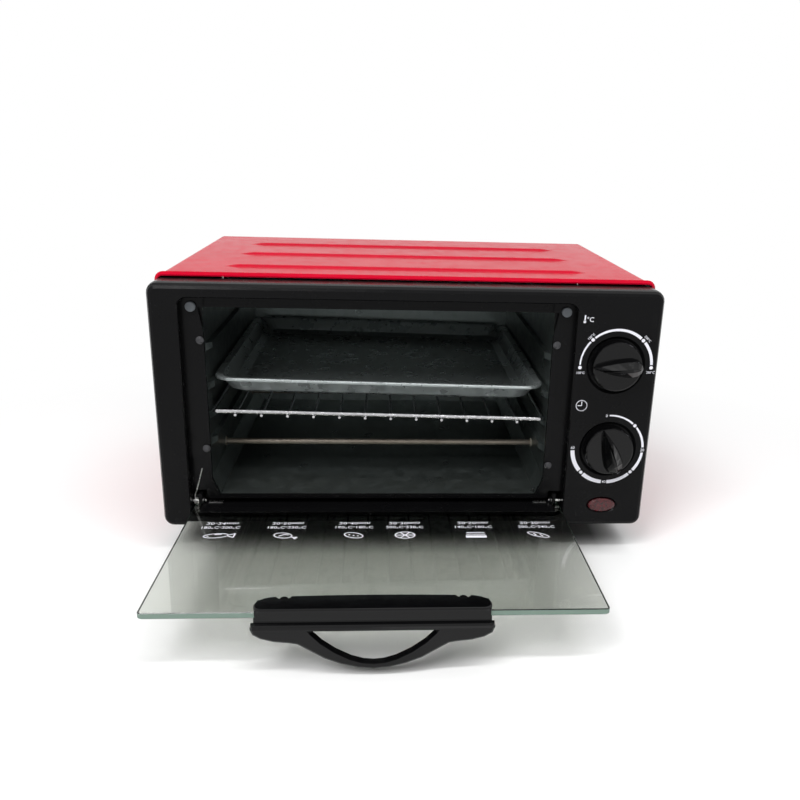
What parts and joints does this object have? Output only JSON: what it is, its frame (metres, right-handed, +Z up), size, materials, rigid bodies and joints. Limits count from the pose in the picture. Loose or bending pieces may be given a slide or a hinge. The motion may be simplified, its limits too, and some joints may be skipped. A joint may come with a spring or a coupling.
{
  "type": "baking oven",
  "caption": "Counter-top baking oven with a drop-down glass door, bow handle, wire rack, tray, tube heaters and two rotary controls.",
  "frame": {"origin": "under the feet, in the middle of the bounding box with the door open", "axes": "+X to the right seen from the front, +Y to the back, +Z up; the door and controls face -Y"},
  "size_m": [0.361, 0.408, 0.2078],
  "materials": {
    "black_plastic": "fine grained black moulding",
    "gloss_black": "polished black moulding",
    "red_paint": "gloss red powder coat",
    "galvanised": "galvanised sheet",
    "steel": "plain steel",
    "chrome": "chromed wire",
    "heater_steel": "heat-browned steel tube",
    "tray_steel": "grey coated steel",
    "ceramic": "unglazed ceramic",
    "tinted_glass": "grey-green toughened glass",
    "grey_rubber": "grey rubber",
    "red_lens": "clear red lens",
    "beige_plastic": "beige thermoset"
  },
  "bodies": {
    "cabinet": {"base_plate": "galvanised", "bumper_left": "grey_rubber", "bumper_right": "grey_rubber", "ceramic_lower_front_left": "ceramic", "ceramic_lower_front_right": "ceramic", "ceramic_lower_rear_left": "ceramic", "ceramic_lower_rear_right": "ceramic", "ceramic_upper_front_left": "ceramic", "ceramic_upper_front_right": "ceramic", "ceramic_upper_rear_left": "ceramic", "ceramic_upper_rear_right": "ceramic", "cord_gland": "black_plastic", "door_spring": "steel", "foot_front_left": "black_plastic", "foot_front_right": "black_plastic", "foot_rear_left": "black_plastic", "foot_rear_right": "black_plastic", "front_frame": "black_plastic", "heater_lower_front": "heater_steel", "heater_lower_rear": "heater_steel", "heater_upper_front": "heater_steel", "heater_upper_rear": "heater_steel", "hinge_bracket_left": "steel", "hinge_bracket_right": "steel", "hinge_pin_left": "steel", "hinge_pin_right": "steel", "lamp_holder": "beige_plastic", "lamp_lens": "red_lens", "liner_back": "galvanised", "liner_floor": "galvanised", "liner_left_wall": "galvanised", "liner_right_wall": "galvanised", "liner_screw_lower_left": "steel", "liner_screw_lower_right": "steel", "liner_screw_upper_left": "steel", "liner_screw_upper_right": "steel", "liner_top": "galvanised", "outer_shell": "red_paint", "rear_panel": "galvanised", "rear_screw_lower_left": "steel", "rear_screw_lower_right": "steel", "rear_screw_upper_left": "steel", "rear_screw_upper_right": "steel", "temperature_switch": "beige_plastic", "terminal_block": "beige_plastic", "timer_switch": "beige_plastic"},
    "door": {"door_glass": "tinted_glass", "door_channel": "steel", "door_handle": "gloss_black", "handle_cover": "black_plastic", "handle_screw_left": "steel", "handle_screw_right": "steel"},
    "rack": {"wire_rack": "chrome"},
    "tray": {"baking_tray": "tray_steel"},
    "temperature_control": {"temperature_knob": "gloss_black", "temperature_shaft": "steel"},
    "timer_control": {"timer_knob": "gloss_black", "timer_shaft": "steel"}
  },
  "joints": [
    {"name": "door_hinge", "type": "hinge", "parent": "cabinet", "child": "door", "pos_m": [-0.02105, -0.04637, 0.04015], "axis": [-1, 0, 0], "range_deg": [0, 88.7]},
    {"name": "rack_slide", "type": "slide", "parent": "cabinet", "child": "rack", "axis": [0, 1, 0], "range_m": [-0.15, 0]},
    {"name": "tray_slide", "type": "slide", "parent": "cabinet", "child": "tray", "axis": [0, 1, 0], "range_m": [-0.15, 0]},
    {"name": "temperature_turn", "type": "hinge", "parent": "cabinet", "child": "temperature_control", "pos_m": [0.14755, -0.05462, 0.1501], "axis": [0, 1, 0], "range_deg": [0, 180]},
    {"name": "timer_turn", "type": "hinge", "parent": "cabinet", "child": "timer_control", "pos_m": [0.14775, -0.05462, 0.0856], "axis": [0, 1, 0], "range_deg": [0, 285]}
  ]
}
